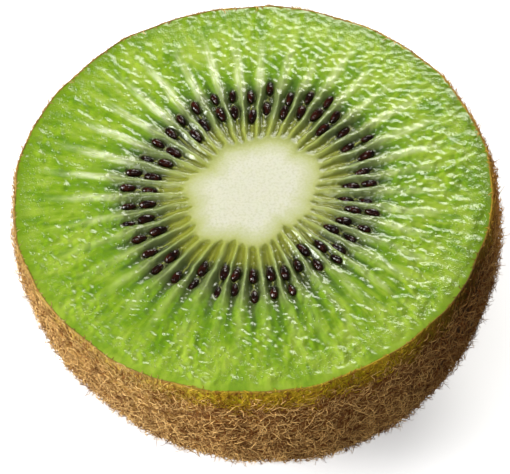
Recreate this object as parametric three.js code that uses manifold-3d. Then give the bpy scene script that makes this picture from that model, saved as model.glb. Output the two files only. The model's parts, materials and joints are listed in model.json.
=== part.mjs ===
// Half of a kiwi fruit, cut across and standing on its round end with the cut face up.
// Millimetres, +Z up. The origin is the centre of the small flat spot that it rests on.
// One solid: the skin side, the cut face with its seed pockets, and the seeds that stand out of it.
import * as THREE from "three";
import { mergeVertices } from "three/addons/utils/BufferGeometryUtils.js";
import Module from "manifold-3d";

const wasm = await Module();
wasm.setup();

// The fruit's body. Depths are measured down from the cut.
const faceRadius = 26; // mean radius at the cut
const ovalShare = 0.0145; // how far the cross section is from round
const ovalTurn = THREE.MathUtils.degToRad(42); // where its longer diameter points
const girthDepth = 4; // the widest girth lies a little under the cut
const poleDepth = 33.5; // where the round end would close
const bluntness = 1.92; // 2 is an ellipse, more is fuller towards the end
const lean = 0.104; // sideways drift of the fruit's axis for each millimetre down
const restRadius = 6.5; // flat spot at the round end
const skinWave = 0.18; // height of the skin's soft lumps
const edgeWave = 0.07; // how unevenly the cut's outline runs

// The cut face. The core is the pale middle, with seed pockets all round it.
const pocketCount = 40;
const firstPocket = 0.624; // place of the first pocket, in pockets from +X
const pocketStray = 0.34; // how unevenly they are spread, in pockets
const crowding = THREE.MathUtils.degToRad(4.04); // they stand closer on one side
const crowdTurn = THREE.MathUtils.degToRad(248);
const coreRadius = 6.95;
const coreTurn = THREE.MathUtils.degToRad(47); // the core and the seeds' ring are longer this way
const coreOval = 0.84;
const coreLobes = 7;
const lobeHeight = 0.4;
const lobeTurn = THREE.MathUtils.degToRad(20);
const coreRagged = 0.67;
const pocketLength = 8.4; // from the core's edge outwards
const pocketDepth = 0.4;
const ribLength = 4.5; // how far the ribs between pockets run on past them
const ribDepth = 0.12;
const edgeDrop = 0.03; // the flesh dips a little at the skin
const edgeWidth = 0.4;

// The seeds
const seedLength = 1.86;
const seedWidth = 0.94;
const seedHeight = 0.96;
const outerLess = 0.14; // how much smaller a pocket's outer seed is
const seedRing = 12.2; // mean distance of a pocket's seeds from the core's middle
const ringOval = 0.94;
const ringSpread = 1.6;
const seedStep = 2.34; // from one seed to the next in a pocket
const stepSpread = 0.8;
const pairShare = 0.8; // share of the pockets that show a second seed
const sunkShare = 0.25; // share of the seeds that lie deeper
const seedRise = 0.15; // how far a seed's middle lies above its pocket's floor
const sunkRise = -0.2;
const seedAngles = 7; // sides of a seed
const seedRings = 4;

// How finely the surfaces are divided
const stepsPerPocket = 4;
const faceColumns = pocketCount * stepsPerPocket;
const skinColumns = faceColumns / 2;
const coreRings = [0.55, 1]; // as shares of the core's radius
const pocketRings = [0.06, 0.2, 0.4, 0.6, 0.8, 1]; // as shares of the pocket's length
const skinRings = 12;

// Each thing left to chance has its own numbered series of draws.
const chance = {
  place: 682305,
  edge: 1655800,
  ring: 1181935,
  step: 2331801,
  pair: 1036014,
  sunk: 3347346,
  side: 3,
  size: 6,
  aim: 7,
};

const turn = 2 * Math.PI;
const smooth = (t) => THREE.MathUtils.smoothstep(t, 0, 1);
const mix = THREE.MathUtils.lerp;

// A repeatable draw from 0 to 1 for item n of a numbered series.
function draw(n, series) {
  const wide = Math.sin(n * 12.9898 + series * 78.233) * 43758.5453;
  return wide - Math.floor(wide);
}

// Radius of the cut's outline in a direction.
function faceOutline(angle) {
  const oval = ovalShare * Math.cos(2 * (angle - ovalTurn));
  const uneven = Math.sin(9 * angle + 1) + Math.sin(16 * angle + 4);
  return faceRadius * (1 + oval) + edgeWave * uneven;
}

// Share of the outline that a cross section at this depth has.
function girth(depth) {
  const along = (d) => Math.abs((d - girthDepth) / (poleDepth - girthDepth)) ** bluntness;
  return Math.sqrt((1 - along(depth)) / (1 - along(0)));
}

const restShare = restRadius / faceRadius;
const restDepth =
  girthDepth + (poleDepth - girthDepth) * (1 - restShare ** 2) ** (1 / bluntness);

// What a pocket has of its own in a series, from -0.5 to 0.5.
function ownShare(i, series) {
  return draw(((i % pocketCount) + pocketCount) % pocketCount, series) - 0.5;
}

// Pockets are unevenly spread, so each has its own direction.
function pocketAngle(i) {
  const even = ((i + firstPocket + pocketStray * ownShare(i, chance.place)) * turn) / pocketCount;
  return even + crowding * Math.cos(even - crowdTurn);
}

// Distance from the core's middle to its edge, with a ragged part for each pocket.
function coreEdge(i) {
  const angle = pocketAngle(i);
  const oval = coreOval * Math.cos(2 * (angle - coreTurn));
  const lobes = lobeHeight * Math.cos(coreLobes * (angle - lobeTurn));
  return coreRadius + oval + lobes + coreRagged * ownShare(i, chance.edge);
}

// One column of the face's grid: column 0 of each pocket runs along its middle.
function faceColumn(j) {
  const i = Math.floor(j / stepsPerPocket);
  const share = (j % stepsPerPocket) / stepsPerPocket;
  const angle = mix(pocketAngle(i), pocketAngle(i + 1), share);
  return {
    angle,
    edge: mix(coreEdge(i), coreEdge(i + 1), share),
    hollow: 0.5 + 0.5 * Math.cos(share * turn), // 1 along a pocket, 0 along a rib
    rim: faceOutline(angle),
  };
}

// Height of the face over the cut, at a distance from the core's middle.
function faceHeight(column, radius) {
  const out = (radius - column.edge) / pocketLength;
  const pocket = Math.sin(Math.PI * THREE.MathUtils.clamp(out, 0, 1)) ** 0.6;
  const past = (radius - column.edge) / (pocketLength + ribLength);
  const rib = past > 0 && past < 1 ? 1 - past : 0;
  const fall = smooth((radius - (column.rim - edgeWidth)) / edgeWidth);
  return -column.hollow * (pocketDepth * pocket + ribDepth * rib) - edgeDrop * fall;
}

function facePoint(column, radius) {
  const x = radius * Math.cos(column.angle);
  const y = radius * Math.sin(column.angle);
  return new THREE.Vector3(x, y, faceHeight(column, radius));
}

function faceLoop(radiusOf) {
  const points = [];
  for (let j = 0; j < faceColumns; j++) {
    const column = faceColumn(j);
    points.push(facePoint(column, radiusOf(column)));
  }
  return points;
}

// A loop of the skin at a depth, with soft lumps that fade at the cut and at the rest.
function skinLoop(depth) {
  const points = [];
  const fade = Math.sin((Math.PI * depth) / restDepth);
  for (let j = 0; j < skinColumns; j++) {
    const angle = faceColumn(j * 2).angle;
    const lumps = Math.sin(3 * angle + depth / 4) + Math.sin(5 * angle - depth / 3);
    const radius = faceOutline(angle) * girth(depth) + (skinWave / 2) * fade * lumps;
    points.push(
      new THREE.Vector3(
        radius * Math.cos(angle) + lean * depth,
        radius * Math.sin(angle),
        -depth,
      ),
    );
  }
  return points;
}

// Closes a list of loops, from the face's middle over the rim to the rest's middle,
// into one surface. A loop may have half the points of the one before it.
function closedSurface(first, loops, last) {
  const points = [first, ...loops.flat(), last];
  const faces = [];
  let start = 1;
  loops.forEach((loop, k) => {
    const n = loop.length;
    const at = (j) => start + (j % n);
    if (k === 0) for (let j = 0; j < n; j++) faces.push(0, at(j), at(j + 1));
    const next = loops[k + 1];
    if (!next) {
      for (let j = 0; j < n; j++) faces.push(at(j), points.length - 1, at(j + 1));
      return;
    }
    const below = (j) => start + n + (j % next.length);
    const step = n / next.length; // 1 or 2
    for (let j = 0; j < next.length; j++) {
      const [a, b] = [at(j * step), at((j + 1) * step)];
      if (step === 1) {
        faces.push(a, below(j), below(j + 1), a, below(j + 1), b);
      } else {
        const middle = at(j * step + 1);
        faces.push(a, below(j), middle, middle, below(j), below(j + 1));
        faces.push(middle, below(j + 1), b);
      }
    }
    start += n;
  });
  const geometry = new THREE.BufferGeometry().setFromPoints(points);
  geometry.setIndex(faces);
  return geometry;
}

function fruitBody() {
  const loops = [];
  for (const share of coreRings) loops.push(faceLoop((c) => share * c.edge));
  for (const share of pocketRings) {
    loops.push(faceLoop((c) => c.edge + share * pocketLength));
  }
  loops.push(faceLoop((c) => mix(c.edge + pocketLength, c.rim - edgeWidth, 0.5)));
  loops.push(faceLoop((c) => c.rim - edgeWidth));
  loops.push(faceLoop((c) => c.rim));
  for (let k = 1; k <= skinRings; k++) {
    loops.push(skinLoop(restDepth * Math.sin((k / skinRings) * (Math.PI / 2))));
  }
  const middle = new THREE.Vector3(0, 0, 0);
  const rest = new THREE.Vector3(lean * restDepth, 0, -restDepth);
  return closedSurface(middle, loops, rest);
}

const hasPair = (i) => draw(i, chance.pair) < pairShare;

// One seed, lying along its pocket with its upper half out of the flesh.
function seed(i, order) {
  const own = (series) => draw(i * 2 + order, series) - 0.5;
  const next = pocketAngle(i + 1) - pocketAngle(i);
  const column = { ...faceColumn(i * stepsPerPocket), edge: coreEdge(i) };
  column.angle += 0.16 * own(chance.side) * next;
  const ring = seedRing + ringOval * Math.cos(2 * (column.angle - coreTurn));
  const middle = ring + ringSpread * ownShare(i, chance.ring);
  const step = seedStep + stepSpread * ownShare(i, chance.step);
  const radius = hasPair(i) ? middle + (order - 0.5) * step : middle;
  const rise = own(chance.sunk) > 0.5 - sunkShare ? sunkRise : seedRise;
  const size = 1 - outerLess * order + 0.16 * own(chance.size);
  const geometry = new THREE.SphereGeometry(0.5, seedAngles, seedRings);
  geometry.scale(seedWidth * size, seedLength * size, seedHeight * size);
  geometry.rotateZ(column.angle - Math.PI / 2 + 0.35 * own(chance.aim));
  geometry.translate(...facePoint(column, radius));
  geometry.translate(0, 0, rise);
  return geometry;
}

function solidOf(geometry) {
  geometry.deleteAttribute("normal");
  geometry.deleteAttribute("uv");
  const merged = mergeVertices(geometry, 1e-4);
  return new wasm.Manifold(
    new wasm.Mesh({
      numProp: 3,
      vertProperties: merged.attributes.position.array,
      triVerts: new Uint32Array(merged.index.array),
    }),
  );
}

function geometryOf(solid) {
  const mesh = solid.getMesh();
  const geometry = new THREE.BufferGeometry();
  geometry.setAttribute("position", new THREE.BufferAttribute(mesh.vertProperties, 3));
  geometry.setIndex(new THREE.BufferAttribute(mesh.triVerts, 1));
  geometry.computeVertexNormals();
  return geometry;
}

let half = solidOf(fruitBody());
for (let i = 0; i < pocketCount; i++) {
  half = half.add(solidOf(seed(i, 0)));
  if (hasPair(i)) half = half.add(solidOf(seed(i, 1)));
}

const fleshMaterial = new THREE.MeshStandardMaterial({
  color: 0x8fb83a,
  roughness: 0.35,
  metalness: 0,
});

const kiwiHalf = new THREE.Mesh(geometryOf(half), fleshMaterial);
kiwiHalf.name = "kiwi_half";
kiwiHalf.position.set(-lean * restDepth, 0, restDepth);

const fruit = new THREE.Group();
fruit.add(kiwiHalf);
export default fruit;
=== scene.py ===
import json
import math

import bpy
import numpy as np
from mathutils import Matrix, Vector, noise

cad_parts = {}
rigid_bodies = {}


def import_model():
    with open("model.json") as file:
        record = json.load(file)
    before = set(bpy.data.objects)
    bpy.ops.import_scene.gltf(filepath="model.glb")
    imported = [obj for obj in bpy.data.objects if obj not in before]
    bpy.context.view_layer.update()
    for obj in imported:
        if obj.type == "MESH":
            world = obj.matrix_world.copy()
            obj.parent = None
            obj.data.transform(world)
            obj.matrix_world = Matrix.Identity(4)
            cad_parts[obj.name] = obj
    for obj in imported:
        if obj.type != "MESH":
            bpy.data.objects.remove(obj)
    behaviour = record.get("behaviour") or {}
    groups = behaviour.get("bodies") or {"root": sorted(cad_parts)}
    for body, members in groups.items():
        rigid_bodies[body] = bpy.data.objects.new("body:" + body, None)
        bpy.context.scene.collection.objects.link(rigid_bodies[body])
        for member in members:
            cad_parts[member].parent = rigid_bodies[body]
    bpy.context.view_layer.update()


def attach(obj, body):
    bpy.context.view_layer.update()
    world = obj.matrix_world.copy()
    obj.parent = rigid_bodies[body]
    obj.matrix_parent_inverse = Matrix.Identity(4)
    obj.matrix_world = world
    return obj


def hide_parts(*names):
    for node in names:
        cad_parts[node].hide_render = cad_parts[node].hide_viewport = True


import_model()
milli = 0.001
turn = 2 * math.pi

# The fruit's body, as the solid has it. Depths are measured down from the cut.
fruit = {
    "faceRadius": 26.0,
    "ovalShare": 0.0145,
    "ovalTurn": 42.0,
    "girthDepth": 4.0,  # where it is widest
    "poleDepth": 33.5,
    "bluntness": 1.92,
    "restRadius": 6.5,
    "lean": 0.104,
    "skinWave": 0.18,
    "skinThickness": 0.14,
    "edgeWave": 0.07,  # how unevenly the cut's outline runs
}
edgeWaves = ((9.0, 1.0, 1.0), (16.0, 4.0, 1.0), (29.0, 2.0, 0.6))  # count, start and height
restShare = 1 - (fruit["restRadius"] / fruit["faceRadius"]) ** 2
restDepth = fruit["girthDepth"] + (fruit["poleDepth"] - fruit["girthDepth"]) * restShare ** (
    1 / fruit["bluntness"]
)
cutHeight = restDepth
axisX = -fruit["lean"] * restDepth  # the fruit's axis crosses the cut here


class Wire:  # one output socket, so that node maths reads as plain maths
    def __init__(self, graph, socket):
        self.graph = graph
        self.socket = socket

    def __getitem__(self, name):
        node = self.socket.node
        return Wire(self.graph, next(s for s in node.outputs if s.name == name and s.enabled))

    def __add__(self, other):
        return self.graph.maths("ADD", self, other)

    def __sub__(self, other):
        return self.graph.maths("SUBTRACT", self, other)

    def __mul__(self, other):
        return self.graph.maths("MULTIPLY", self, other)

    def __truediv__(self, other):
        return self.graph.maths("DIVIDE", self, other)

    def __pow__(self, other):
        return self.graph.maths("POWER", self, other)

    def __rsub__(self, other):
        return self.graph.maths("SUBTRACT", other, self)

    def __rtruediv__(self, other):
        return self.graph.maths("DIVIDE", other, self)

    __radd__ = __add__
    __rmul__ = __mul__


class Graph:  # a node tree with one way to add any node
    def __init__(self, tree):
        self.tree = tree

    def feed(self, socket, value):
        if isinstance(value, Wire):
            self.tree.links.new(value.socket, socket)
        elif socket.type in ("VECTOR", "RGBA") and isinstance(value, (int, float)):
            socket.default_value = (value,) * len(socket.default_value)
        elif socket.type == "RGBA":
            socket.default_value = (*value, 1.0)[:4]
        else:
            socket.default_value = value

    def add(self, kind, settings=None, sockets=None):
        node = self.tree.nodes.new(kind)
        for name, value in (settings or {}).items():
            setattr(node, name, value)
        for name, value in (sockets or {}).items():
            self.feed(next(s for s in node.inputs if s.name == name and s.enabled), value)
        return Wire(self, next((s for s in node.outputs if s.enabled), None))

    def maths(self, operation, *values):
        def isVector(value):
            return isinstance(value, tuple) or (
                isinstance(value, Wire) and value.socket.type in ("VECTOR", "RGBA")
            )

        kind = "ShaderNodeVectorMath" if any(map(isVector, values)) else "ShaderNodeMath"
        node = self.tree.nodes.new(kind)
        node.operation = operation
        for socket, value in zip(node.inputs, values):
            self.feed(socket, value)
        return Wire(self, next(s for s in node.outputs if s.enabled))

    def span(self, value, low, high):  # 0 below low, 1 above high, smooth between
        return self.add(
            "ShaderNodeMapRange",
            {"interpolation_type": "SMOOTHSTEP"},
            {"Value": value, "From Min": low, "From Max": high},
        )

    def mix(self, share, first, second):
        kind = "RGBA" if isinstance(first, tuple) or first.socket.type == "RGBA" else "FLOAT"
        return self.add(
            "ShaderNodeMix", {"data_type": kind}, {"Factor": share, "A": first, "B": second}
        )

    def vector(self, **parts):
        return self.add("ShaderNodeCombineXYZ", {}, parts)

    def split(self, vector):
        return self.add("ShaderNodeSeparateXYZ", {}, {"Vector": vector})

    def read(self, name):  # an attribute that the mesh carries
        return self.add("ShaderNodeAttribute", {"attribute_name": name})["Fac"]

    def bump(self, height, distance=milli, strength=1.0):
        sockets = {"Height": height, "Strength": strength, "Distance": distance}
        return self.add("ShaderNodeBump", {}, sockets)

    def cloud(self, vector, scale, detail=2.0, roughness=0.5):  # a noise from 0 to 1
        return self.add(
            "ShaderNodeTexNoise",
            {},
            {"Vector": vector, "Scale": scale, "Detail": detail, "Roughness": roughness},
        )


class ShapeGraph(Graph):  # a Geometry Nodes tree with named inputs
    def __init__(self, name, inputs):
        super().__init__(bpy.data.node_groups.new(name, "GeometryNodeTree"))
        self.tree.is_modifier = True
        face = self.tree.interface
        face.new_socket("Geometry", in_out="INPUT", socket_type="NodeSocketGeometry")
        face.new_socket("Geometry", in_out="OUTPUT", socket_type="NodeSocketGeometry")
        kinds = {
            int: "NodeSocketInt",
            float: "NodeSocketFloat",
            bpy.types.Material: "NodeSocketMaterial",
        }
        self.ids = {}
        for key, value in inputs.items():
            kind = next(kinds[k] for k in kinds if isinstance(value, k))
            self.ids[key] = face.new_socket(key, in_out="INPUT", socket_type=kind).identifier
        self.given = self.tree.nodes.new("NodeGroupInput")
        self.inputs = inputs

    def take(self, name):
        return Wire(self, self.given.outputs[name])

    def named(self, name, kind="FLOAT"):
        return self.add("GeometryNodeInputNamedAttribute", {"data_type": kind}, {"Name": name})

    def store(self, geometry, name, value, kind="FLOAT"):
        return self.add(
            "GeometryNodeStoreNamedAttribute",
            {"data_type": kind, "domain": "POINT"},
            {"Geometry": geometry, "Name": name, "Value": value},
        )

    def drop(self, geometry, *names):
        for name in names:
            sockets = {"Geometry": geometry, "Name": name}
            geometry = self.add("GeometryNodeRemoveAttribute", {}, sockets)
        return geometry

    def draw(self, low, high, series):
        return self.add(
            "FunctionNodeRandomValue",
            {"data_type": "FLOAT"},
            {"Min": low, "Max": high, "Seed": self.take("seed") + series},
        )

    def finish(self, geometry):  # realize, give the material, and hand out
        plain = self.add("GeometryNodeRealizeInstances", {}, {"Geometry": geometry})
        made = self.add(
            "GeometryNodeSetMaterial", {}, {"Geometry": plain, "Material": self.take("material")}
        )
        out = self.tree.nodes.new("NodeGroupOutput")
        self.feed(out.inputs["Geometry"], made)

    def make(self, name, source):  # runs the tree on a mesh and gives a plain object
        carrier = bpy.data.objects.new(name + "_source", source)
        bpy.context.scene.collection.objects.link(carrier)
        modifier = carrier.modifiers.new("make", "NODES")
        modifier.node_group = self.tree
        for key, value in self.inputs.items():
            modifier[self.ids[key]] = value
        graph = bpy.context.evaluated_depsgraph_get()
        mesh = bpy.data.meshes.new_from_object(
            carrier.evaluated_get(graph), preserve_all_data_layers=True, depsgraph=graph
        )
        while mesh.materials[0] is None:  # a primitive brings an empty slot
            mesh.materials.pop(index=0)
        carrier.modifiers.remove(modifier)
        bpy.data.objects.remove(carrier)
        return place(name, mesh)


def place(name, mesh):
    mesh.name = name
    mesh.shade_smooth()
    piece = bpy.data.objects.new(name, mesh)
    bpy.context.scene.collection.objects.link(piece)
    print(f"{name}: {sum(len(p.vertices) - 2 for p in mesh.polygons)} triangles")
    return piece


def meshOf(points, faces=(), values=None):
    mesh = bpy.data.meshes.new("source")
    mesh.from_pydata([Vector(p) * milli for p in points], (), faces)
    for key, series in (values or {}).items():
        attribute = mesh.attributes.new(key, "FLOAT", "POINT")
        attribute.data.foreach_set("value", np.asarray(series, float))
    return mesh


def keep(piece):  # the piece stands in for the solid
    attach(piece, "root")
    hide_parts("kiwi_half")


def finish(name, settings):  # a Principled material with its fixed values set on its sockets
    material = bpy.data.materials.new(name)
    material.use_nodes = True
    graph = Graph(material.node_tree)
    shader = material.node_tree.nodes["Principled BSDF"]
    for key, value in settings.items():
        graph.feed(shader.inputs[key], value)
    spot = graph.add("ShaderNodeTexCoord")["Object"] * (1 / milli)  # in millimetres
    return material, graph, shader, spot


# The cut face's pattern, as the solid has it: a pale core with seed pockets all round it.
cutFace = {
    "pocketCount": 40,
    "firstPocket": 0.624,
    "pocketStray": 0.34,  # share of the pitch by which each pocket strays
    "crowding": 4.04,  # degrees by which the pockets crowd to one side
    "crowdTurn": 248.0,
    "coreRadius": 6.95,
    "coreTurn": 47.0,
    "coreOval": 0.84,
    "coreLobes": 7,
    "lobeHeight": 0.4,
    "lobeTurn": 20.0,
    "coreRagged": 0.67,
    "pocketDepth": 0.4,
    "steepShare": 0.65,  # share of a pocket's depth that it reaches at once
    "edgeDrop": 0.03,  # the cut's outer edge turns down a little
    "edgeWidth": 0.4,
}
seedRule = {
    "length": 1.86,
    "width": 0.94,
    "height": 0.96,
    "ring": 12.2,
    "ringOval": 0.94,
    "ringSpread": 1.6,
    "step": 2.34,  # between the two seeds of a pocket
    "stepSpread": 0.8,
    "pairShare": 0.8,
    "sunkShare": 0.25,
    "rise": 0.15,
    "sunkRise": -0.2,
    "outerLess": 0.14,  # how much smaller a pocket's outer seed is
    "sideSpread": 0.16,  # share of the pitch by which a seed lies off the middle
    "aimSpread": 0.35,
    "sizeSpread": 0.16,
    "rollSpread": 0.5,
    "pitchSpread": 0.3,
}
# each thing left to chance has its own numbered series of draws
chance = {
    "place": 682305,
    "edge": 1655800,
    "ring": 1181935,
    "step": 2331801,
    "pair": 1036014,
    "sunk": 3347346,
    "side": 3,
    "size": 6,
    "aim": 7,
    "roll": 14,
    "pitch": 15,
}
# where each relief comes in or dies out, in millimetres past the core's edge
reliefZones = {
    "pocketSteep": (-0.3, 1.3),
    "pocketGentle": (1.0, 3.5),
    "pocketEnd": (5.5, 10),
    "pocketNarrows": (5, 10),
    "filmStart": (3, 7),
    "gelStart": (-0.2, 0.5),
    "lumpStart": (1, 4),
    "lumpEnd": (7, 9.5),
    "strandThins": (1, 4),
    "strandStart": (0.2, 1.6),
    "strandRises": (0.5, 3.5),
    "strandEnd": (5.0, 7.0),
    "ribStart": (0, 2),
    "ribEnd": (8, 14),
}


def draw(n, series):  # a repeatable draw from 0 to 1
    wide = np.sin(n * 12.9898 + series * 78.233) * 43758.5453
    return wide - np.floor(wide)


def ownShare(i, series):
    return draw(i % cutFace["pocketCount"], chance[series]) - 0.5


def smooth(value, low, high):
    t = np.clip((value - low) / (high - low), 0, 1)
    return t * t * (3 - 2 * t)


def starts(past, zone):
    return smooth(past, *reliefZones[zone])


def ends(past, zone):
    return 1 - smooth(past, *reliefZones[zone])


def outline(angle):
    oval = np.cos(2 * (angle - math.radians(fruit["ovalTurn"])))
    uneven = sum(high * np.sin(n * angle + start) for n, start, high in edgeWaves)
    return fruit["faceRadius"] * (1 + fruit["ovalShare"] * oval) + fruit["edgeWave"] * uneven


def girth(depth):  # the body's width at a depth, as a share of the cut's
    def along(d):
        share = (d - fruit["girthDepth"]) / (fruit["poleDepth"] - fruit["girthDepth"])
        return np.abs(share) ** fruit["bluntness"]

    return np.sqrt((1 - along(depth)) / (1 - along(0)))


def pocketAngle(i):
    stray = cutFace["pocketStray"] * ownShare(i, "place")
    even = (i + cutFace["firstPocket"] + stray) * turn / cutFace["pocketCount"]
    crowded = np.cos(even - math.radians(cutFace["crowdTurn"]))
    return even + math.radians(cutFace["crowding"]) * crowded


def coreEdge(i):
    angle = pocketAngle(i)
    oval = cutFace["coreOval"] * np.cos(2 * (angle - math.radians(cutFace["coreTurn"])))
    lobes = np.cos(cutFace["coreLobes"] * (angle - math.radians(cutFace["lobeTurn"])))
    ragged = cutFace["coreRagged"] * ownShare(i, "edge")
    return cutFace["coreRadius"] + oval + cutFace["lobeHeight"] * lobes + ragged


def column(angle):  # place along the ring of pockets, the core's edge, and the pockets' pitch
    around = np.arange(-2, cutFace["pocketCount"] + 3)
    along = np.interp(angle % turn, pocketAngle(around), around)
    pitch = np.interp(along, around[:-1] + 0.5, np.diff(pocketAngle(around)))
    return along, np.interp(along, around, coreEdge(around)), pitch


def pocketFloor(past):  # how deep a pocket's middle lies, past the core's edge
    steep = cutFace["steepShare"] * starts(past, "pocketSteep")
    gentle = (1 - cutFace["steepShare"]) * starts(past, "pocketGentle")
    return cutFace["pocketDepth"] * (steep + gentle) * ends(past, "pocketEnd")


def seedList():
    seeds = []
    for i in range(cutFace["pocketCount"]):
        pair = draw(i, chance["pair"]) < seedRule["pairShare"]
        for order in range(2 if pair else 1):

            def own(series):
                return draw(i * 2 + order, chance[series]) - 0.5

            pitch = pocketAngle(i + 1) - pocketAngle(i)
            angle = pocketAngle(i) + seedRule["sideSpread"] * own("side") * pitch
            oval = np.cos(2 * (angle - math.radians(cutFace["coreTurn"])))
            radius = seedRule["ring"] + seedRule["ringOval"] * oval
            radius += seedRule["ringSpread"] * ownShare(i, "ring")
            if pair:
                step = seedRule["step"] + seedRule["stepSpread"] * ownShare(i, "step")
                radius += (order - 0.5) * step
            sunk = own("sunk") > 0.5 - seedRule["sunkShare"]
            rise = seedRule["sunkRise"] if sunk else seedRule["rise"]
            size = 1 - seedRule["outerLess"] * order + seedRule["sizeSpread"] * own("size")
            seeds.append(
                {
                    "x": radius * math.cos(angle) + axisX,
                    "y": radius * math.sin(angle),
                    "z": cutHeight - pocketFloor(radius - coreEdge(i)) + rise,
                    "aim": angle + seedRule["aimSpread"] * own("aim"),
                    "size": size,
                }
            )
    return seeds


seeds = seedList()


def seedGap(x, y):  # distance from the nearest seed's middle, 1 at its outline
    nearest = np.full(x.shape, 9.0)
    for seed in seeds:
        dx, dy = x - seed["x"], y - seed["y"]
        along = dx * math.cos(seed["aim"]) + dy * math.sin(seed["aim"])
        across = dy * math.cos(seed["aim"]) - dx * math.sin(seed["aim"])
        size = seed["size"] / 2
        gap = np.hypot(along / (seedRule["length"] * size), across / (seedRule["width"] * size))
        nearest = np.minimum(nearest, gap)
    return nearest


flesh = {
    "coreStep": 0.3,  # size of the mesh's triangles in the core, among the seeds and outside
    "seedStep": 0.135,
    "outerStep": 0.163,
    "seedsFrom": 6,  # radii between which the middle size holds
    "seedsTo": 17,
    "sideRings": 14,
    "sideColumns": 120,
    "floorGap": 0.4,
    "film": 0.122,  # heights of the relief: the wet outer flesh
    "filmFine": 0.04,
    "ridge": 0.145,  # the ribs, and what runs on from them
    "ribHalf": 0.55,
    "gel": 0.05,  # the gel in the pockets, and its lumps
    "lump": 0.07,
    "strand": 0.09,  # what holds the seeds
    "strandHalf": 0.2,
    "lip": 0.12,  # round the seeds
    "lipAt": 1.4,
    "lipWidth": 0.25,
    "seedSink": 0.1,
    "pocketShare": 0.58,  # share of the ring that the pockets take, more in front and behind
    "pocketSwing": 0.08,
    "pocketRound": 0.5,  # how far a pocket's round start reaches
    "pocketTaper": 0.8,
    "wall": (-0.3, 0.25),  # distances inside a pocket between which its wall goes down
    "sway": 0.2,
}
# each noise on the cut face: its size, its own number and its stretch
spotNoise = {
    "patch": (4.0, 12),
    "film": (0.6, 3, 1.1),
    "filmFine": (0.33, 5),
    "gel": (0.35, 21),
    "lump": (0.6, 8),
    "lip": (0.7, 4),
}
# the noises that follow the rays: size, stretch along the ray and own number
rayNoise = {
    "sway": (1.7, 1.4, 9),
    "swayFine": (0.6, 1.2, 7),
    "film": (0.5, 2.6, 27),
    "filmFine": (0.5, 3, 5),
    "lump": (0.28, 4, 6),
    "strand": (0.9, 1.4, 15),
    "rib": (1.2, 1.2, 2),
}


def roughness(x, y, size, series, stretch=1.0):
    spots = zip(x / (size * stretch), y / size)
    return np.array([noise.noise(Vector((a, b, series))) for a, b in spots])


def rayRoughness(angle, radius, size, stretch, series):
    span = 12 / size
    spots = zip(np.cos(angle) * span, np.sin(angle) * span, radius / (size * stretch) + series)
    return np.array([noise.noise(Vector(spot)) for spot in spots])


def filmStrength(x, y, inward):  # uneven, and more in front near the edge and on the right
    strength = 0.5 + 0.7 * smooth(roughness(x, y, *spotNoise["patch"]), -0.3, 0.3)
    strength = strength + 0.003 * (x + y)
    front = smooth(-y, 10, 20) * smooth(inward, 9, 5)
    return strength + 0.45 * front + 0.3 * smooth(x, 9, 18)


def fleshFace(angle, radius):
    def spotted(name):
        return roughness(x, y, *spotNoise[name])

    def rayed(name):
        return rayRoughness(angle, radius, *rayNoise[name])

    along, edge, pitch = column(angle)
    x, y = radius * np.cos(angle) + axisX, radius * np.sin(angle)
    past = radius - edge
    inward = outline(angle) - radius
    gap = seedGap(x, y)
    sway = flesh["sway"] * (rayed("sway") + 0.3 * rayed("swayFine"))
    off = (along - np.round(along)) * pitch * radius + sway
    ribGap = np.abs(pitch * radius / 2 - np.abs(off))

    # a pocket starts round at the core, widens with the ring, and runs out to a point
    share = flesh["pocketShare"] - flesh["pocketSwing"] * np.cos(2 * angle)
    wide = pitch * radius / 2 * share * np.sqrt(np.clip(past / flesh["pocketRound"], 0, 1))
    wide = wide * (1 - flesh["pocketTaper"] * starts(past, "pocketNarrows"))
    pit = wide - np.abs(off) - 0.8 * np.maximum(-past, 0)  # distance inside the pocket
    hollow = smooth(pit, *flesh["wall"])
    z = cutHeight - pocketFloor(past) * hollow
    z -= cutFace["edgeDrop"] * smooth(inward, cutFace["edgeWidth"], 0)

    # on the right and the upper left the film is drawn out along the rays
    drawn = np.maximum(smooth(x - 0.6 * y, 7, 15), 0.7 * smooth(y - x, 14, 26))
    film = flesh["film"] * ((1 - 0.35 * drawn) * spotted("film") + 1.3 * drawn * rayed("film"))
    film += flesh["filmFine"] * (spotted("filmFine") + rayed("filmFine"))
    outer = starts(past, "filmStart") * smooth(inward, 0.1, 1.0 - 0.03 * y)
    z += outer * filmStrength(x, y, inward) * film

    z += flesh["gel"] * hollow * starts(past, "gelStart") * spotted("gel")
    inPocket = hollow * starts(past, "lumpStart") * ends(past, "lumpEnd")
    z += flesh["lump"] * inPocket * (spotted("lump") + 0.7 * rayed("lump"))

    # a strand runs down the middle of each pocket, from the core to its seeds
    half = flesh["strandHalf"] * (1 - 0.4 * starts(past, "strandThins"))
    strand = 1 - smooth(np.abs(off + 0.1 * rayed("strand")), 0.03, half)
    strand = strand * starts(past, "strandStart") * ends(past, "strandEnd") * smooth(gap, 0.9, 1.2)
    z += flesh["strand"] * strand * starts(past, "strandRises")

    flank = np.clip(1 - ribGap / flesh["ribHalf"], 0, 1)
    ribs = (1.5 * flank - 0.5 * flank**3) * starts(past, "ribStart") * ends(past, "ribEnd")
    z += flesh["ridge"] * ribs * (0.65 + 1.3 * rayed("rib"))

    lip = np.exp(-(((gap - flesh["lipAt"]) / flesh["lipWidth"]) ** 2))
    z += flesh["lip"] * lip * (0.4 + spotted("lip"))
    z -= flesh["seedSink"] * (1 - smooth(gap, 0.8, 1.2))
    values = {"past": past, "pit": pit, "ribGap": ribGap, "inward": inward, "gap": gap}
    return np.stack([x, y, z], 1), {**values, "strand": strand}


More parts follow.
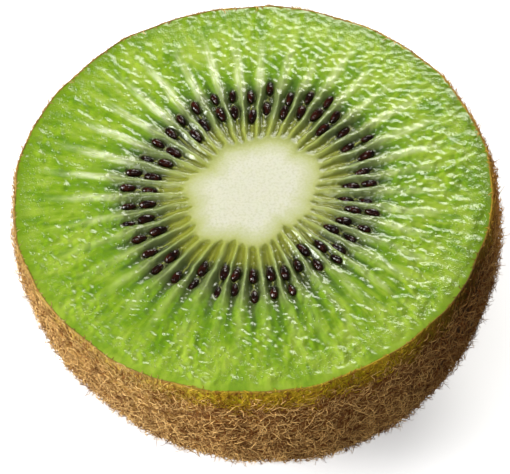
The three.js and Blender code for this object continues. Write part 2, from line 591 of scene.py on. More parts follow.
def fleshSide(angle, depth):
    inside = fruit["skinThickness"] * (0.6 + 1.0 * smooth(depth, 0, 4))
    radius = outline(angle) * girth(depth) - inside
    x = radius * np.cos(angle) + fruit["lean"] * depth + axisX
    z = np.full(angle.shape, cutHeight - depth)
    far = np.full(angle.shape, 20.0)
    values = {"past": far, "pit": -far, "ribGap": far, "inward": 0 * far, "gap": far}
    return np.stack([x, radius * np.sin(angle), z], 1), {**values, "strand": 0 * far}


def stepAt(radius):
    if radius <= flesh["seedsFrom"]:
        return flesh["coreStep"]
    return flesh["seedStep"] if radius < flesh["seedsTo"] else flesh["outerStep"]


def fleshRings():  # each ring's count of points, with its share of the face or its depth
    rim = fruit["faceRadius"] - 0.5 * fruit["skinThickness"]
    last = rim - 0.05
    radii, radius = [], 0.0
    while radius < last:
        radius += stepAt(radius)
        radii.append(min(radius, last))
    radii.append(rim)
    rings = [(max(8, round(turn * r / stepAt(r))), r / rim, None) for r in radii]
    deepest = restDepth - flesh["floorGap"]
    for k in range(1, flesh["sideRings"] + 1):
        bend = math.sin(k / flesh["sideRings"] * math.pi / 2)
        depth = cutFace["edgeDrop"] + (deepest - cutFace["edgeDrop"]) * bend
        rings.append((flesh["sideColumns"], None, depth))
    return rings


def zipRings(firstStart, firstCount, secondStart, secondCount):
    # triangles between two closed rings, the first inside or above the second
    faces = []
    i = j = 0
    while i < firstCount or j < secondCount:
        a = firstStart + i % firstCount
        b = secondStart + j % secondCount
        if j < secondCount and (i >= firstCount or (j + 1) / secondCount <= (i + 1) / firstCount):
            faces.append((a, b, secondStart + (j + 1) % secondCount))
            j += 1
        else:
            faces.append((a, b, firstStart + (i + 1) % firstCount))
            i += 1
    return faces


def makeFlesh(material):
    points, faces = [np.array([[axisX, 0, cutHeight]])], []
    middle = {"past": -7, "pit": -9, "ribGap": 0, "inward": 26, "gap": 9, "strand": 0}
    values = {key: [np.array([value])] for key, value in middle.items()}
    start, previous = 1, None
    for count, share, depth in fleshRings():
        angle = np.arange(count) / count * turn
        if depth is None:
            edge = outline(angle) - 0.5 * fruit["skinThickness"]
            spots, extra = fleshFace(angle, share * edge)
        else:
            spots, extra = fleshSide(angle, depth)
        points.append(spots)
        for key in values:
            values[key].append(extra[key])
        if previous is None:
            faces += [(0, start + j, start + (j + 1) % count) for j in range(count)]
        else:
            faces += zipRings(*previous, start, count)
        previous = (start, count)
        start += count
    points.append(np.array([[axisX + fruit["lean"] * restDepth, 0, flesh["floorGap"]]]))
    last = {"past": 20, "pit": -20, "ribGap": 20, "inward": 0, "gap": 9, "strand": 0}
    for key, end in last.items():
        values[key].append(np.array([end]))
    first, count = previous
    faces += [(first + j, start, first + (j + 1) % count) for j in range(count)]
    values = {key: np.concatenate(parts) for key, parts in values.items()}
    mesh = meshOf(np.concatenate(points), faces, values=values)
    mesh.materials.append(material)
    return place("kiwi_flesh", mesh)


fleshColours = {
    "core": (0.715, 0.71, 0.56),
    "coreGrain": (0.62, 0.62, 0.435),
    "coreEdge": (0.54, 0.565, 0.27),
    "coreRim": (0.45, 0.485, 0.125),
    "ribInner": (0.33, 0.37, 0.075),
    "rib": (0.34, 0.42, 0.16),
    "ribSide": (0.135, 0.175, 0.05),
    "ray": (0.46, 0.57, 0.18),
    "rayFront": (0.33, 0.465, 0.06),
    "rayPale": (0.68, 0.77, 0.44),
    "gel": (0.25, 0.275, 0.02),
    "gelDark": (0.165, 0.185, 0.01),
    "gelBehind": (0.16, 0.18, 0.02),
    "strand": (0.34, 0.37, 0.055),
    "gelDeep": (0.065, 0.09, 0.02),
    "seedBed": (0.022, 0.028, 0.006),
    "halo": (0.34, 0.36, 0.14),
    "gelEnd": (0.065, 0.14, 0.012),
    "between": (0.14, 0.29, 0.006),
    "outerDark": (0.13, 0.28, 0.004),
    "outer": (0.225, 0.38, 0.01),
    "outerPale": (0.375, 0.515, 0.05),
    "rim": (0.165, 0.29, 0.006),
    "edge": (0.21, 0.13, 0.008),
}
# where each colour or finish comes in or gives way, in millimetres past the core's edge
fleshZones = {
    "coreFades": (-3.0, -0.4),
    "coreEnd": (-1.0, 0.4),
    "ribInner": (-0.5, 1.2),
    "rib": (1.2, 4.0),
    "ribEnd": (6.0, 9.5),
    "betweenStart": (3.0, 6.0),
    "betweenEnd": (8.0, 13.0),
    "rayEnd": (9.5, 16.5),
    "pocketStart": (-0.4, 0.5),
    "pocketEnd": (8.0, 11.5),
    "pocketFront": (7.0, 10.0),
    "gelDeep": (2.0, 4.4),
    "gelEnd": (5.5, 7.5),
    "gelPast": (7.0, 10.0),
    "belowStart": (6.0, 9.0),
    "belowEnd": (10.0, 14.0),
    "glossStart": (-0.8, 1.0),
    "filmStart": (2.0, 7.0),
    "beadStart": (-0.5, 1.0),
    "beadEnd": (5.0, 8.5),
}
wetness = {  # scales are per millimetre
    "filmScale": 2.4,
    "film": 0.014,
    "dropScale": 2.2,
    "dropSize": 0.15,
    "drop": 0.075,
    "stippleScale": 6.0,
    "stipple": 0.016,
    "beadScale": 4.0,
    "bead": 0.055,
    "fibre": 0.04,
    "grain": 0.012,
    "coreRoughness": 0.5,
    "wetRoughness": 0.22,
}


def fleshMaterial():
    material, g, shader, spot = finish(
        "wet_flesh",
        {
            "IOR": 1.42,
            "Specular IOR Level": 0.85,
            "Specular Tint": (0.96, 1.0, 0.92, 1.0),
            "Subsurface Weight": 0.4,
            "Subsurface Radius": (1.0, 1.3, 0.4),
            "Subsurface Scale": 0.0004,
        },
    )

    def after(distance, zone):
        return g.span(distance, *fleshZones[zone])

    def until(distance, zone):
        return 1 - after(distance, zone)

    c = fleshColours
    past, pit, ribGap = g.read("past"), g.read("pit"), g.read("ribGap")
    inward, gap, strand = g.read("inward"), g.read("gap"), g.read("strand")
    flat = (spot - (axisX, 0.0, 0.0)) * (1.0, 1.0, 0.0)
    radius = g.maths("LENGTH", flat)
    around = g.maths("NORMALIZE", flat) * 12.0
    ray = around + g.vector(Z=radius * 0.3)
    longRay = around + g.vector(Z=radius * 0.12)
    streak = g.cloud(ray, 0.9, 2.0)
    fibre = g.cloud(longRay, 3.0, 3.0, 0.6)
    thread = g.cloud(longRay, 6.0, 2.0)
    soft = g.cloud(spot, 0.45, 2.0)
    mottle = g.cloud(spot, 0.9, 2.0)
    fine = g.cloud(spot, 3.5, 3.0)
    wavy = past + (soft - 0.5) * 3.0
    unevenness = (fibre - 0.5) * 0.5 + (mottle - 0.5) * 0.2

    # the sides of the face, as masks
    compass = g.split(around)
    right = g.span(compass["X"], 0.0, 10.0)
    left = g.span(compass["X"] * -1.0, 3.0, 10.0)
    front = g.span(compass["Y"] * -1.0, 2.0, 11.0)
    behind = g.span(compass["Y"], 2.0, 10.0)
    corner = g.span(compass["Y"] * 0.7 - compass["X"] * 0.7, 5.0, 12.0)

    # the outer flesh, with pale rays that run on from the ribs; their paleness is partly painted
    # sheen of the wet cut, less in front, more on the right and at the upper left
    blend = streak * 0.5 + mottle * 0.15 + fibre * 0.35
    # painted sheen: the mottling a little paler on the right
    pale = g.span(blend + right * 0.035, 0.45, 0.63)
    dark = g.span(blend, 0.5, 0.37)
    colour = g.mix(pale * 0.85, c["outer"], c["outerPale"])
    colour = g.mix(dark * 0.9, colour, c["outerDark"])
    between = g.span(ribGap + unevenness, 0.3, 0.9) * until(wavy, "betweenEnd")
    colour = g.mix(between * after(past, "betweenStart") * 0.85, colour, c["between"])
    strength = g.span(streak, 0.35, 0.6) * 0.6 + 0.4
    rays = (1 - g.span(ribGap + unevenness * 0.6, 0.1, 0.7)) * until(wavy, "rayEnd")
    # painted sheen: rays duller in front, paler at the upper left and on the right
    ribPale = g.mix(front * 0.8, c["ray"], c["rayFront"])
    ribPale = g.mix((corner * 1.3 + right * 0.4) * g.span(fibre, 0.4, 0.6), ribPale, c["rayPale"])
    colour = g.mix(rays * (strength + corner * 0.5), colour, ribPale)

    # the ribs between the pockets
    rib = g.mix(g.span(ribGap + unevenness * 0.4, -0.03, 0.2), c["rib"], c["ribSide"])
    # painted shade: behind, the darker inner rib colour comes in sooner
    inner = g.mix(after(past + behind * 0.8, "ribInner"), c["coreRim"], c["ribInner"])
    inner = g.mix(after(past, "rib"), inner, rib)
    colour = g.mix(until(wavy, "ribEnd"), colour, inner)

    # the pockets run out further in front, and are darker behind, where the darkness is painted
    # shade
    further = wavy - front * 2.2
    inside = pit + unevenness * 0.4 + front * 0.2 * after(past, "pocketFront")
    pocket = g.span(inside, -0.14, 0.2) * until(further, "pocketEnd")
    tint = g.mix(behind * 0.8, c["gel"], c["gelBehind"])
    # painted shade: the gel darker along the pocket walls
    tint = g.mix(g.span(inside, 0.0, 0.22), c["gelDark"], tint)
    tint = g.mix(after(wavy, "gelDeep"), tint, c["gelDeep"])
    tint = g.mix(after(further, "gelEnd"), tint, c["gelEnd"])
    tint = g.mix(after(further, "gelPast"), tint, c["between"])
    tint = g.mix(g.span(thread, 0.5, 0.72) * 0.4, tint, c["ribSide"])
    # dark gel round each seed, with painted shadow of the seed laid into it
    bed = 1 - g.span(gap + (fine - 0.5) * 0.8, 1.05, 1.7)
    tint = g.mix(bed * 0.75, tint, c["seedBed"])
    # a pale ring next to each seed: partly its gel jacket, partly painted sheen of the wet gel
    halo = g.span(gap, 1.0, 1.1) * (1 - g.span(gap, 1.15, 1.4)) * g.span(mottle, 0.45, 0.6)
    tint = g.mix(halo * 0.7, tint, c["halo"])
    tint = g.mix(strand * 0.8, tint, c["strand"])
    start = after(past + (fine - 0.5) * 1.4, "pocketStart")
    colour = g.mix(pocket * (start * 0.6 + 0.4), colour, tint)

    # the core, which ends a little sooner at the pockets, and sooner behind as painted shade
    ragged = past + (fine - 0.5) * 1.1 + (soft - 0.5) * 0.8
    cream = g.mix(g.span(fine, 0.4, 0.75), c["core"], c["coreGrain"])
    cream = g.mix(after(ragged, "coreFades"), cream, c["coreEdge"])
    colour = g.mix(until(ragged + pocket * 0.3 + behind * 0.3, "coreEnd"), colour, cream)

    # the flesh near the skin, and the cut edge itself
    rim = (1 - g.span(inward, 0.3, 2.4)) * (0.75 - front * 0.8 + right * 0.35)
    colour = g.mix(rim, colour, c["rim"])
    below = front * after(past, "belowStart") * until(past, "belowEnd")
    colour = g.mix(below * 0.25, colour, c["between"])
    colour = g.mix(front * (1 - g.span(inward, 1.5, 4.5)) * 0.25, colour, c["outerPale"])
    nicked = inward + (fine - 0.5) * 0.5 + (mottle - 0.5) * 0.5
    colour = g.mix((1 - g.span(nicked, 0.0, 0.22)) * 0.85, colour, c["edge"])
    g.feed(shader.inputs["Base Color"], colour)

    w = wetness
    gloss = after(past, "glossStart")
    dulling = gloss * (w["coreRoughness"] - w["wetRoughness"])
    g.feed(shader.inputs["Roughness"], w["coreRoughness"] - dulling)

    # the juice on the cut: a fine film, with small beads about the seeds; heights in mm
    film = g.cloud(spot, w["filmScale"], 1.0) * w["film"]
    cells = g.add("ShaderNodeTexVoronoi", {}, {"Vector": spot, "Scale": w["dropScale"]})
    size = g.split(cells["Color"])["X"] * w["dropSize"]
    drops = 1 - g.span(cells["Distance"], 0.0, (size + 0.06) * w["dropScale"])
    close = 1 - g.span(inward, 1.5, 6.0)
    drops = drops * (size + 0.04) / (w["dropSize"] + 0.04) * w["drop"]
    drops = drops * g.span(soft + close * 0.12 + left * 0.05, 0.4, 0.55) * (1 - behind * 0.6)
    stipple = g.span(g.cloud(spot, w["stippleScale"], 0.0), 0.5, 0.8) * w["stipple"] * close
    stipple = stipple * (1 + right * 0.7)
    calm = g.span(inward - front * 0.8, 0.1, 0.9)
    film = (film + drops + stipple) * after(past, "filmStart") * calm
    near = after(past, "beadStart") * until(past, "beadEnd")
    beads = g.span(g.cloud(spot, w["beadScale"], 0.0), 0.62, 1.0) * w["bead"] * near
    beads = beads * (1 - front * 0.7)
    height = film + beads + thread * w["fibre"] * near + fine * w["grain"] * (1 - gloss * 0.7)
    g.feed(shader.inputs["Normal"], g.bump(height))
    return material


# The skin: a grid bent into a thin wall round the flesh, with an inner and an outer side.
skin = {
    "columns": 420,
    "rows": 130,
    "lipRow": 16,  # rows of the inner wall
    "discAt": 0.94,  # share of a wall's rows above the spot that it rests on
    "ragged": 0.09,  # height of the cut edge's nicks
    "nickScale": 26.0,
    "relief": 0.1,
    "reliefScale": 0.9,
    "bareBand": 0.85,  # depth where the long hairs start, more on one side
    "bareMore": 1.1,
    "bareTurn": 280.0,
    "patchScale": 0.35,
    "patchDepth": 2.5,  # how unevenly the long hairs start
    "thinning": 0.6,  # how much thinner the hair is round the spot that it rests on
    "weld": 0.01,
}


def makeSkin(material):
    sizes = {key: value for key, value in fruit.items() if key != "restRadius"}
    sizes.update({**skin, "cutHeight": cutHeight, "material": material})
    g = ShapeGraph("skin", sizes)
    take = g.take

    def takeTurn(name):
        return take(name) * (math.pi / 180)

    def share(d):
        along = (d - take("girthDepth")) / (take("poleDepth") - take("girthDepth"))
        return 1 - g.maths("ABSOLUTE", along) ** take("bluntness")

    # each row of the grid is a ring: up the inner wall, over the edge and down the outer one
    grid = g.add(
        "GeometryNodeMeshGrid", {}, {"Vertices X": take("columns"), "Vertices Y": take("rows")}
    )
    cell = g.split(grid["UV Map"])
    angle, row = cell["X"] * turn, cell["Y"] * (take("rows") - 1.0)
    outside = g.span(row, take("lipRow") - 0.6, take("lipRow") - 0.4)
    inner = 1 - row / (take("lipRow") - 1.0)
    outer = (row - take("lipRow")) / (take("rows") - 1.0 - take("lipRow"))
    down = g.maths("MAXIMUM", inner, outer)
    wall = g.maths("MINIMUM", down / take("discAt"), 1.0)
    disc = g.maths("MAXIMUM", (down - take("discAt")) / (1 - take("discAt")), 0.0)
    around = g.vector(X=g.maths("COSINE", angle), Y=g.maths("SINE", angle))
    top = (g.cloud(around, take("nickScale"), 3.0) - 0.5) * 2.0 * take("ragged")
    depth = top + (take("cutHeight") - top) * g.maths("SINE", wall * (math.pi / 2))

    oval = g.maths("COSINE", (angle - takeTurn("ovalTurn")) * 2.0)
    uneven = sum(g.maths("SINE", angle * n + start) * high for n, start, high in edgeWaves)
    radius = take("faceRadius") * (1 + take("ovalShare") * oval) + take("edgeWave") * uneven
    radius = radius * g.maths("SQRT", share(depth) / share(0.0))
    fade = g.maths("SINE", depth / take("cutHeight") * math.pi)
    lumps = g.maths("SINE", angle * 3.0 + depth / 4.0) + g.maths("SINE", angle * 5.0 - depth / 3.0)
    radius = radius + fade * lumps * take("skinWave") * 0.5
    raw = around * radius + g.vector(Z=depth * -1.0)
    bumps = (g.cloud(raw, take("reliefScale"), 4.0) - 0.5) * take("relief")
    bumps = bumps * g.span(depth, 0.4, 2.0) * (1 - disc)
    radius = radius + bumps * outside - (1 - outside) * take("skinThickness")
    centre = g.vector(
        X=take("lean") * (depth - take("cutHeight")),
        Z=take("cutHeight") - depth + (1 - outside) * take("skinThickness") * wall,
    )
    spot = (around * radius * (1 - disc) + centre) * milli
    moved = g.add("GeometryNodeSetPosition", {}, {"Geometry": grid, "Position": spot})

    # where the long hairs and the down grow
    patch = (g.cloud(raw, take("patchScale"), 2.0) - 0.5) * take("patchDepth")
    bare = g.maths("COSINE", angle - takeTurn("bareTurn")) * take("bareMore")
    start = depth + patch - bare - take("bareBand")
    furry = g.span(start, -1.0, 1.4) * (1 - take("thinning") * g.span(depth, 22.0, 31.0))
    moved = g.store(moved, "furry", (furry * 0.95 + 0.05) * outside * (1 - disc))
    downy = (1 - g.span(start, 0.0, 2.0)) * g.span(depth, 0.1, 0.4)
    moved = g.store(moved, "downy", downy * outside * (1 - disc))
    moved = g.store(moved, "depth", depth)
    moved = g.store(moved, "start", start)
    closed = g.add(
        "GeometryNodeMergeByDistance", {}, {"Geometry": moved, "Distance": take("weld") * milli}
    )
    g.finish(g.add("GeometryNodeFlipFaces", {}, {"Mesh": closed}))
    return g.make("kiwi_skin", bpy.data.meshes.new("blank"))


skinColours = {
    "glow": (0.52, 0.33, 0.012),  # where the light comes through under the cut
    "green": (0.48, 0.41, 0.005),
    "tan": (0.40, 0.19, 0.04),
    "brown": (0.16, 0.055, 0.012),
    "spot": (0.27, 0.10, 0.018),
    "lip": (0.22, 0.115, 0.012),
    # painted light: the paler left; painted shade: the darker right
    "left": (0.44, 0.28, 0.07),
    "right": (0.065, 0.026, 0.002),
}


# masks for painted light on the left and painted shade on the right of the outside
def litAndShadedSides(g, at):  # the paler left and the darker right of the outside
    right = g.span(at["X"], 9.0, 20.0) * g.span(at["Y"], -1.0, -11.0)
    return g.span(at["X"], -6.0, -17.0), right


def skinMaterial():
    material, g, shader, spot = finish(
        "brown_skin",
        {
            "Roughness": 0.62,
            "Specular IOR Level": 0.25,
            "Subsurface Weight": 0.15,
            "Subsurface Radius": (1.0, 0.6, 0.2),
            "Subsurface Scale": 0.0006,
        },
    )
    c = skinColours
    depth, start = g.read("depth"), g.read("start")
    left, right = litAndShadedSides(g, g.split(spot))
    soft = g.cloud(spot, 0.45, 3.0)
    fine = g.cloud(spot, 3.0, 3.0)
    colour = g.mix(g.span(fine, 0.35, 0.65), c["brown"], c["tan"])
    glow = g.mix(g.span(soft * 0.6 + fine * 0.4, 0.42, 0.56), c["glow"], c["green"])
    colour = g.mix(g.span(start + (fine - 0.5) * 1.5, -0.6, 1.4), glow, colour)
    # painted light: the left side paler
    colour = g.mix(left * 0.75, colour, c["left"])
    freckle = g.span(g.cloud(spot, 1.2, 3.0, 0.6), 0.54, 0.66)
    colour = g.mix(freckle * 0.85, colour, c["spot"])
    lip = 1 - g.span(depth + (fine - 0.5) * 0.8, 0.1, 0.6)
    colour = g.mix(lip * (g.span(soft, 0.35, 0.6) * 0.5 + 0.3), colour, c["lip"])
    # painted shade: the right side darker
    colour = g.mix(right * 0.9, colour, c["right"])
    g.feed(shader.inputs["Base Color"], colour)
    g.feed(shader.inputs["Normal"], g.bump(fine, 0.1 * milli, 0.7))
    return material


# The hair: fine curved tubes strewn over the skin, in kinds that lie over each other.
hair = {
    "points": 5,
    "sides": 3,
    "lengthLow": 0.8,
    "lengthHigh": 1.8,
    "radius": 0.046,
    "taper": 0.65,  # how much thinner the tip is
    "liftLow": 0.1,
    "liftHigh": 0.95,
    "wave": 2.6,  # how unevenly a hair lifts along its length
    "waveFrom": -0.6,
    "fan": 0.35,  # how far the hairs turn from pointing down, and how much more below the cut
    "fanMore": 0.6,
    "fall": 1.15,  # how strongly they point down, and aside
    "aside": 0.75,
    "nearSize": 0.4,  # how short they are next to the cut
    "curl": 1.2,
    "bend": 0.9,  # bends per millimetre
    "tuft": 0.25,  # how far the tips gather
    "tuftScale": 0.7,  # gathering places per millimetre
    "tone": 0.5,
    "toneSpread": 1.3,
    "perArea": 1.4,
    "seed": 3,
}
hairKinds = {  # what differs from the above
    "hair_tan": {"seed": 3, "tone": 0.66},
    "hair_brown": {"seed": 11, "tone": 0.4, "liftHigh": 1.2},
    "hair_short": {"seed": 23, "lengthLow": 0.6, "lengthHigh": 1.2, "tuft": 0.6},
    "hair_long": {"seed": 31, "lengthLow": 1.4, "lengthHigh": 2.6, "radius": 0.052, "tone": 0.6},
    "hair_low": {"seed": 47, "liftHigh": 0.3, "tone": 0.35},
}
down = {  # the short down of the band under the cut
    "lengthLow": 0.9,
    "lengthHigh": 2.4,
    "radius": 0.06,
    "liftLow": 0.05,
    "liftHigh": 0.45,
    "curl": 1.8,
    "perArea": 9.0,
    "toneSpread": 1.0,
    "seed": 61,
}


def makeHair(name, skinPiece, material, settings, cover="furry"):
    g = ShapeGraph(name, {**hair, **settings, "material": material})
    take = g.take
    scattered = g.add(
        "GeometryNodeDistributePointsOnFaces",
        {"distribute_method": "RANDOM"},
        {
            "Mesh": take("Geometry"),
            "Density": g.named(cover) * take("perArea") * 1e6,
            "Seed": take("seed"),
        },
    )

    # every root gets its own way, length, lift and mark
    normal = scattered["Normal"]
    root = g.add("GeometryNodeInputPosition")
    side = g.maths("NORMALIZE", g.maths("CROSS_PRODUCT", normal, (0.0, 0.0, 1.0)))
    below = g.maths("CROSS_PRODUCT", side, normal)
    free = g.span(g.named("depth"), 0.8, 4.5)  # near the cut the hairs point down and are short
    aim = g.draw(-1.0, 1.0, 1)
    aim = aim * (0.6 + 0.4 * aim * aim) * math.pi * (take("fan") + take("fanMore") * free)
    way = below * g.maths("COSINE", aim) * take("fall")
    way = way + side * g.maths("SINE", aim) * take("aside")
    small = take("nearSize") + (1 - take("nearSize")) * free
    sockets = {"Vector": root / milli, "Scale": take("tuftScale")}
    tuftAt = g.add("ShaderNodeTexVoronoi", {}, sockets)["Position"] * milli
    gather = (tuftAt - root) * take("tuft")
    points = g.store(scattered, "root", root, "FLOAT_VECTOR")
    points = g.store(points, "out", normal, "FLOAT_VECTOR")
    points = g.store(points, "way", way, "FLOAT_VECTOR")
    points = g.store(points, "gather", gather, "FLOAT_VECTOR")
    points = g.store(points, "span", g.draw(take("lengthLow"), take("lengthHigh"), 2) * small)
    points = g.store(points, "rise", g.draw(take("liftLow"), take("liftHigh"), 3) * small)
    points = g.store(points, "mark", g.draw(0.0, 1.0, 5))
    line = g.add("GeometryNodeCurvePrimitiveLine", {}, {"End": (0.0, 0.0, milli)})
    line = g.add("GeometryNodeResampleCurve", {}, {"Curve": line, "Count": take("points")})
    hairs = g.add("GeometryNodeInstanceOnPoints", {}, {"Points": points, "Instance": line})
    hairs = g.add("GeometryNodeRealizeInstances", {}, {"Geometry": hairs})

    # then each line is bent from its root along its way, never under the floor or over the cut
    t = g.add("GeometryNodeSplineParameter")["Factor"]
    length = g.named("span") * milli
    way, out = g.named("way", "FLOAT_VECTOR"), g.named("out", "FLOAT_VECTOR")
    across = g.maths("CROSS_PRODUCT", out, way)
    along = g.named("mark") * 900.0 + t * g.named("span") * take("bend")
    curl = (g.cloud((1.0, 0.0, 0.0) * along, 1.0, 0.0) - 0.5) * take("curl") * length
    wave = g.cloud((0.0, 1.0, 0.0) * along, 1.0, 0.0) * take("wave") + take("waveFrom")
    up = g.named("rise") * milli * g.maths("SQRT", t) * wave + take("radius") * 0.3 * milli
    path = g.named("root", "FLOAT_VECTOR") + way * length * t + across * curl * t * 2.0 + out * up
    path = path + g.named("gather", "FLOAT_VECTOR") * t * t
    parts = g.split(path)
    thick = take("radius") * milli
    level = g.maths("MINIMUM", g.maths("MAXIMUM", parts["Z"], thick), cutHeight * milli)
    path = g.vector(X=parts["X"], Y=parts["Y"], Z=level)
    hairs = g.add("GeometryNodeSetPosition", {}, {"Geometry": hairs, "Position": path})
    thin = 1 - take("taper") * t * t
    hairs = g.add("GeometryNodeSetCurveRadius", {}, {"Curve": hairs, "Radius": thin})
    shift = (g.named("mark") - 0.5) * take("toneSpread") + t * 0.2 - 0.1
    hairs = g.store(hairs, "tone", take("tone") + shift)
    ring = g.add(
        "GeometryNodeCurvePrimitiveCircle", {}, {"Resolution": take("sides"), "Radius": thick}
    )
    tubes = g.add(
        "GeometryNodeCurveToMesh",
        {},
        {
            "Curve": hairs,
            "Profile Curve": ring,
            "Scale": g.add("GeometryNodeInputRadius"),
            "Fill Caps": True,
        },
    )
    g.finish(g.drop(tubes, "root", "out", "way", "span", "rise", "mark", "gather"))
    return g.make(name, skinPiece.data.copy())


hairColours = {
    "dark": (0.17, 0.052, 0.008),
    "light": (0.96, 0.62, 0.225),
    # the paler left is painted light, the darker right painted shade, the brighter upper right
    # painted light
    "leftDark": (0.17, 0.056, 0.01),
    "leftLight": (0.93, 0.63, 0.25),
    "right": (0.24, 0.07, 0.006),
    "upper": (0.85, 0.42, 0.09),
}
downColours = {
    "dark": (0.33, 0.20, 0.005),
    "light": (0.74, 0.52, 0.03),
    # the paler left is painted light, the darker right painted shade, the brighter upper right
    # painted light
    "leftDark": (0.27, 0.13, 0.03),
    "leftLight": (0.68, 0.48, 0.20),
    "right": (0.065, 0.024, 0.002),
    "upper": (0.75, 0.38, 0.07),
    "spot": (0.24, 0.075, 0.012),
}


def hairMaterial(name, colours, rightShadeShare):
    material, g, shader, spot = finish(name, {"Roughness": 0.6, "Specular IOR Level": 0.2})
    tone, at = g.read("tone"), g.split(spot)
    left, right = litAndShadedSides(g, at)
    upper = g.span(at["X"], 13.0, 20.0) * g.span(at["Y"], -10.0, -1.0)
    paler = g.mix(tone, colours["leftDark"], colours["leftLight"])
    colour = g.mix(tone, colours["dark"], colours["light"])
    # painted light: paler hair on the left
    colour = g.mix(left * 0.85, colour, paler)
    # painted shade: darker hair on the right
    colour = g.mix(right * rightShadeShare, colour, colours["right"])
    # painted light: brighter orange hair on the upper right
    colour = g.mix(upper * 0.6, colour, colours["upper"])
    if "spot" in colours:
        freckle = g.span(g.cloud(spot, 1.4, 3.0, 0.6), 0.53, 0.6)
        colour = g.mix(freckle * 0.75, colour, colours["spot"])
    g.feed(shader.inputs["Base Color"], colour)
    return material


# The seeds: one model laid at every seed's place. It is a millimetre long and wide.
seedShape = {
    "turns": 20,
    "rings": 14,
    "half": 0.53,
    "plump": 0.9,
    "egg": 1.15,
    "pointed": 0.2,  # how much slimmer its inner end is
    "wartScale": 4.4,
    "wart": 0.042,
}
seedColours = {
    "dark": (0.006, 0.001, 0.0006),
    "red": (0.038, 0.0055, 0.0016),
}


def seedMesh():  # one seed along +X, pointed at its inner end
    points, faces = [(-0.5, 0, 0)], []
    rings, n = seedShape["rings"], seedShape["turns"]
    for k in range(1, rings):
        t = k / rings
        x = -0.5 * math.cos(math.pi * t)
        full = math.sin(math.pi * t ** seedShape["egg"]) ** seedShape["plump"]
        full *= (1 - seedShape["pointed"] * (1 - t)) * seedShape["half"]
        for j in range(n):
            a = j / n * turn
            points.append((x, full * math.cos(a), full * math.sin(a)))
    points.append((0.5, 0, 0))
    last = len(points) - 1
    for j in range(n):
        faces.append((0, 1 + (j + 1) % n, 1 + j))
        faces.append((last, last - n + j, last - n + (j + 1) % n))
    for k in range(rings - 2):
        for j in range(n):
            a, b = 1 + k * n + j, 1 + k * n + (j + 1) % n
            faces.append((a, b, b + n, a + n))
    return meshOf(points, faces)


def makeSeeds(material):
    g = ShapeGraph("seeds", {"material": material})
    model = bpy.data.objects.new("seed_model", seedMesh())
    bpy.context.scene.collection.objects.link(model)
    one = g.add("GeometryNodeObjectInfo", {}, {"Object": model})["Geometry"]
    size = g.named("size")
    grown = g.vector(
        X=size * seedRule["length"], Y=size * seedRule["width"], Z=size * seedRule["height"]
    )
    angles = g.vector(X=g.named("roll"), Y=g.named("pitch"), Z=g.named("aim"))
    laid = g.add(
        "GeometryNodeInstanceOnPoints",
        {},
        {
            "Points": g.take("Geometry"),
            "Instance": one,
            "Rotation": g.add("FunctionNodeEulerToRotation", {}, {"Euler": angles}),
            "Scale": grown,
        },
    )
    g.finish(laid)

    def own(series, spread):
        return [spread * (draw(k, chance[series]) - 0.5) for k in range(len(seeds))]

    values = {
        "aim": [s["aim"] for s in seeds],
        "size": [s["size"] for s in seeds],
        "roll": own("roll", seedRule["rollSpread"]),
        "pitch": own("pitch", seedRule["pitchSpread"]),
    }
    spots = [(s["x"], s["y"], s["z"]) for s in seeds]
    piece = g.make("kiwi_seeds", meshOf(spots, values=values))
    bpy.data.objects.remove(model)
    return piece


def seedMaterial():
    material, g, shader, spot = finish(
        "dark_seed", {"Roughness": 0.1, "IOR": 1.45, "Specular IOR Level": 0.42}
    )
    blot = g.span(g.cloud(spot, 1.3, 2.0), 0.35, 0.75)
    g.feed(shader.inputs["Base Color"], g.mix(blot, seedColours["dark"], seedColours["red"]))
    cells = g.add("ShaderNodeTexVoronoi", {}, {"Vector": spot, "Scale": seedShape["wartScale"]})
    height = cells["Distance"] * seedShape["wart"]
    g.feed(shader.inputs["Normal"], g.bump(height))
    return material


print("flesh")
fleshPiece = makeFlesh(fleshMaterial())
keep(fleshPiece)

print("skin")
skinPiece = makeSkin(skinMaterial())
keep(skinPiece)

print("hair")
# the last number is how strongly painted shade darkens the right side
hairFinish = hairMaterial("matted_hair", hairColours, 0.55)
downFinish = hairMaterial("rim_down", downColours, 0.85)
for kind, settings in hairKinds.items():
    keep(makeHair(kind, skinPiece, hairFinish, settings))
keep(makeHair("hair_down", skinPiece, downFinish, down, "downy"))

print("seeds")
keep(makeSeeds(seedMaterial()))

# The floor, the lights and the camera.
studio = {
    "floorSize": 4000.0,
    "floorColour": (0.95, 0.95, 0.95),
    "floorGlow": (0.22, 0.20, 0.17),  # what the floor gives back to the fruit
    "floorLift": 0.45,  # the floor's own light, so that its shadows stay pale
    "skyStrength": 0.13,
    "lights": {
        # name: place from the middle of the cut, width, height, watts, colour
        "back": ((35.0, 150.0, 85.0), 112.0, 70.0, 0.215, (1.0, 0.98, 0.92)),
        "left": ((-230.0, -70.0, 70.0), 110.0, 110.0, 0.85, (1.0, 1.0, 1.0)),
        "top": ((-35.0, -110.0, 280.0), 160.0, 160.0, 0.355, (1.0, 1.0, 1.0)),
        "front": ((-90.0, -250.0, 5.0), 100.0, 60.0, 0.155, (1.0, 0.95, 0.86)),
    },
    "distance": 312.0,
    "lens": 202.4,
    "aside": 0.2,  # how far the camera stands to the right of the fruit's axis
    "elevation": 53.94,  # of the camera, seen from the middle of the cut
    "axisElevation": 54.87,  # of the way that it looks
}


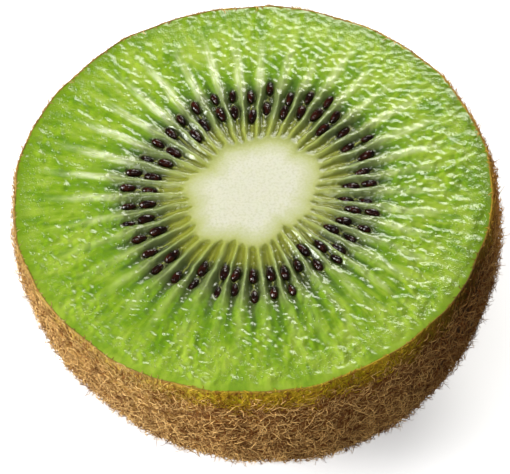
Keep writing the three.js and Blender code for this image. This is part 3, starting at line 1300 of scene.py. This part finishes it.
def makeFloor():
    half = studio["floorSize"] / 2
    corners = [(-half, -half, 0), (half, -half, 0), (half, half, 0), (-half, half, 0)]
    mesh = meshOf(corners, [(0, 1, 2, 3)])
    material, g, shader, _ = finish(
        "pale_floor",
        {"Roughness": 0.8, "Specular IOR Level": 0.2, "Emission Strength": studio["floorLift"]},
    )
    seen = g.add("ShaderNodeLightPath")["Is Camera Ray"]
    colour = g.mix(seen, studio["floorGlow"], studio["floorColour"])
    g.feed(shader.inputs["Base Color"], colour)
    g.feed(shader.inputs["Emission Color"], g.mix(seen, (0.0, 0.0, 0.0), (1.0, 1.0, 1.0)))
    mesh.materials.append(material)
    floor = bpy.data.objects.new("floor", mesh)
    bpy.context.scene.collection.objects.link(floor)


def makeLights():
    world = bpy.data.worlds.new("studio")
    world.use_nodes = True
    sky = world.node_tree.nodes["Background"]
    sky.inputs["Color"].default_value = (1.0, 1.0, 1.0, 1.0)
    sky.inputs["Strength"].default_value = studio["skyStrength"]
    bpy.context.scene.world = world
    target = Vector((axisX, 0, cutHeight)) * milli
    for name, (spot, width, height, watts, colour) in studio["lights"].items():
        way = Vector(spot) * milli
        lamp = bpy.data.lights.new(name, "AREA")
        lamp.shape = "RECTANGLE"
        lamp.size, lamp.size_y = width * milli, height * milli
        lamp.energy = watts
        lamp.color = colour
        light = bpy.data.objects.new(name, lamp)
        light.location = target + way
        light.rotation_mode = "QUATERNION"
        light.rotation_quaternion = (-way).to_track_quat("-Z", "Y")
        bpy.context.scene.collection.objects.link(light)


def makeCamera():
    lens = bpy.data.cameras.new("camera")
    lens.lens = studio["lens"]
    lens.sensor_width = 36.0
    lens.clip_start, lens.clip_end = 0.01, 10.0
    camera = bpy.data.objects.new("camera", lens)
    e = math.radians(studio["elevation"])
    away = Vector((0, -math.cos(e), math.sin(e))) * studio["distance"]
    camera.location = (Vector((axisX + studio["aside"], 0, cutHeight)) + away) * milli
    camera.rotation_euler = (math.radians(90 - studio["axisElevation"]), 0, 0)
    bpy.context.scene.collection.objects.link(camera)
    bpy.context.scene.camera = camera


print("studio")
makeFloor()
makeLights()
makeCamera()
bpy.context.scene.view_settings.view_transform = "Standard"

bpy.context.view_layer.update()
